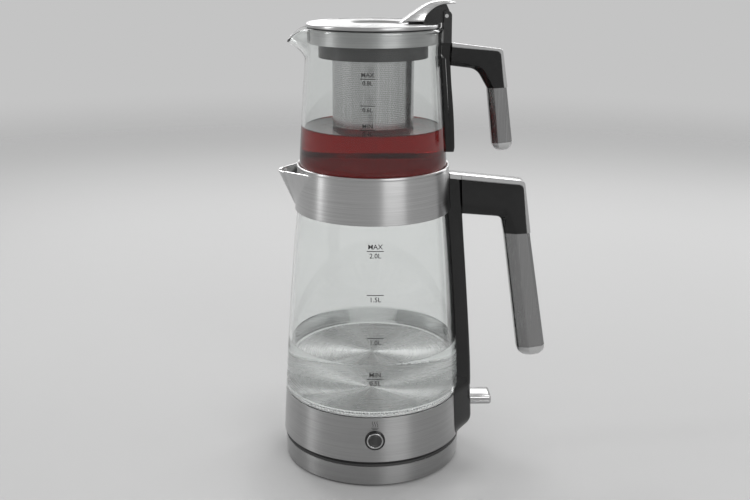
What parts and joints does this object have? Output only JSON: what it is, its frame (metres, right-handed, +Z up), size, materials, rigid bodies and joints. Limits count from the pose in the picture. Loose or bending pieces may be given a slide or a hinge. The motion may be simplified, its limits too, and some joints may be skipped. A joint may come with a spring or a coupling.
{
  "type": "automatic tea maker",
  "caption": "Two-tier tea maker: glass teapot with infuser and hinged lid, seated in the steel collar of a glass kettle on a round power base.",
  "frame": {"origin": "on the kettle's axis, at the level of the surface that the base stands on", "axes": "+Z up along the kettle's axis; +X towards the handles; -Y towards the button and the litre marks"},
  "size_m": [0.2296, 0.1582, 0.3925],
  "materials": {
    "feet_rubber": "matt",
    "base_plastic": "fine grain",
    "base_steel": "brushed round",
    "screw_steel": "bright",
    "bush_rubber": "matt",
    "socket_plastic": "satin",
    "contact_brass": "bright",
    "underpan_plastic": "satin",
    "band_steel": "brushed upright",
    "inner_plastic": "matt",
    "heater_plate": "brushed radially",
    "clear_silicone": "translucent, ribbed",
    "element_metal": "satin",
    "thermostat_plastic": "matt",
    "button_black": "gloss",
    "button_chrome": "bright",
    "button_cap": "satin",
    "board_laminate": "satin",
    "kettle_glass": "clear",
    "collar_steel": "brushed round",
    "black_silicone": "satin",
    "ledge_steel": "satin",
    "filter_black": "satin",
    "spout_steel": "satin",
    "handle_gloss": "high gloss",
    "tube_silicone": "satin",
    "grip_steel": "brushed upright",
    "cap_steel": "satin",
    "trim_chrome": "polished",
    "paddle_steel": "polished",
    "teapot_glass": "clear",
    "flange_steel": "satin",
    "infuser_black": "satin",
    "basket_steel": "polished, finely perforated",
    "pot_handle_gloss": "high gloss",
    "pot_grip_steel": "brushed upright",
    "pot_cap_steel": "satin",
    "pot_trim_chrome": "polished",
    "hinge_black": "satin",
    "pin_steel": "bright",
    "lid_steel": "polished",
    "liner_black": "satin",
    "lever_steel": "satin"
  },
  "bodies": {
    "base": {"base_feet": "feet_rubber", "base_screws": "screw_steel", "base_pan": "base_plastic", "base_ring": "base_steel", "base_deck": "base_plastic", "cord_bush": "bush_rubber", "power_socket": "socket_plastic", "socket_contacts": "contact_brass"},
    "coupler": {"kettle_connector": "socket_plastic", "connector_contacts": "contact_brass"},
    "paddle": {"power_paddle": "paddle_steel"},
    "button": {"warm_button": "button_cap"},
    "seat": {"seat_ring": "black_silicone"},
    "teapot": {"teapot_glass": "teapot_glass", "teapot_floor": "teapot_glass", "teapot_lip": "teapot_glass", "infuser_flange": "flange_steel", "infuser_collar": "infuser_black", "infuser_basket": "basket_steel", "basket_rim": "basket_steel", "infuser_floor": "basket_steel", "teapot_handle_mount": "pot_handle_gloss", "teapot_spine": "pot_handle_gloss", "teapot_arm": "pot_handle_gloss", "teapot_grip": "pot_grip_steel", "teapot_grip_cap": "pot_cap_steel", "teapot_arm_trim": "pot_trim_chrome", "hinge_bracket": "hinge_black", "hinge_pin": "pin_steel"},
    "lid": {"lid_plate": "lid_steel", "lid_liner": "liner_black", "lid_screws": "pin_steel", "lid_lever": "lever_steel", "hinge_block": "hinge_black"},
    "kettle": {"kettle_underpan": "underpan_plastic", "kettle_screws": "screw_steel", "kettle_band": "band_steel", "glass_seat": "inner_plastic", "heating_plate": "heater_plate", "lower_gasket": "clear_silicone", "heating_element": "element_metal", "thermostat_unit": "thermostat_plastic", "button_bezel": "button_black", "button_ring": "button_chrome", "warm_switch_board": "board_laminate", "kettle_glass": "kettle_glass", "kettle_collar": "collar_steel", "upper_gasket": "black_silicone", "seat_ledge": "ledge_steel", "spout_filter": "filter_black", "kettle_spout": "spout_steel", "kettle_spine": "handle_gloss", "spine_screws": "screw_steel", "steam_tube": "tube_silicone", "kettle_arm": "handle_gloss", "kettle_grip": "grip_steel", "kettle_grip_cap": "cap_steel", "kettle_arm_trim": "trim_chrome", "kettle_spine_trim": "trim_chrome", "switch_housing": "handle_gloss", "paddle_pin": "screw_steel", "steam_switch": "inner_plastic"}
  },
  "joints": [
    {"name": "kettle_lift", "type": "slide", "parent": "base", "child": "coupler", "axis": [0, 0, 1], "range_m": [0, 0.04]},
    {"name": "kettle_turn", "type": "hinge", "parent": "coupler", "child": "kettle", "pos_m": [0, 0, 0.025], "axis": [0, 0, 1], "continuous": true},
    {"name": "power_switch", "type": "hinge", "parent": "kettle", "child": "paddle", "pos_m": [0.0812, 0, 0.04775], "axis": [0, 1, 0], "range_deg": [0, 12]},
    {"name": "keep_warm_button", "type": "slide", "parent": "kettle", "child": "button", "axis": [0, 1, 0], "range_m": [0, 0.0015], "stiffness_N_per_m": 400, "springref_m": -0.0005},
    {"name": "teapot_turn", "type": "hinge", "parent": "kettle", "child": "seat", "pos_m": [0, 0, 0.25], "axis": [0, 0, 1], "continuous": true},
    {"name": "teapot_lift", "type": "slide", "parent": "seat", "child": "teapot", "axis": [0, 0, 1], "range_m": [0, 0.06]},
    {"name": "lid_open", "type": "hinge", "parent": "teapot", "child": "lid", "pos_m": [0.0582, 0, 0.381], "axis": [0, 1, 0], "range_deg": [0, 80]}
  ]
}
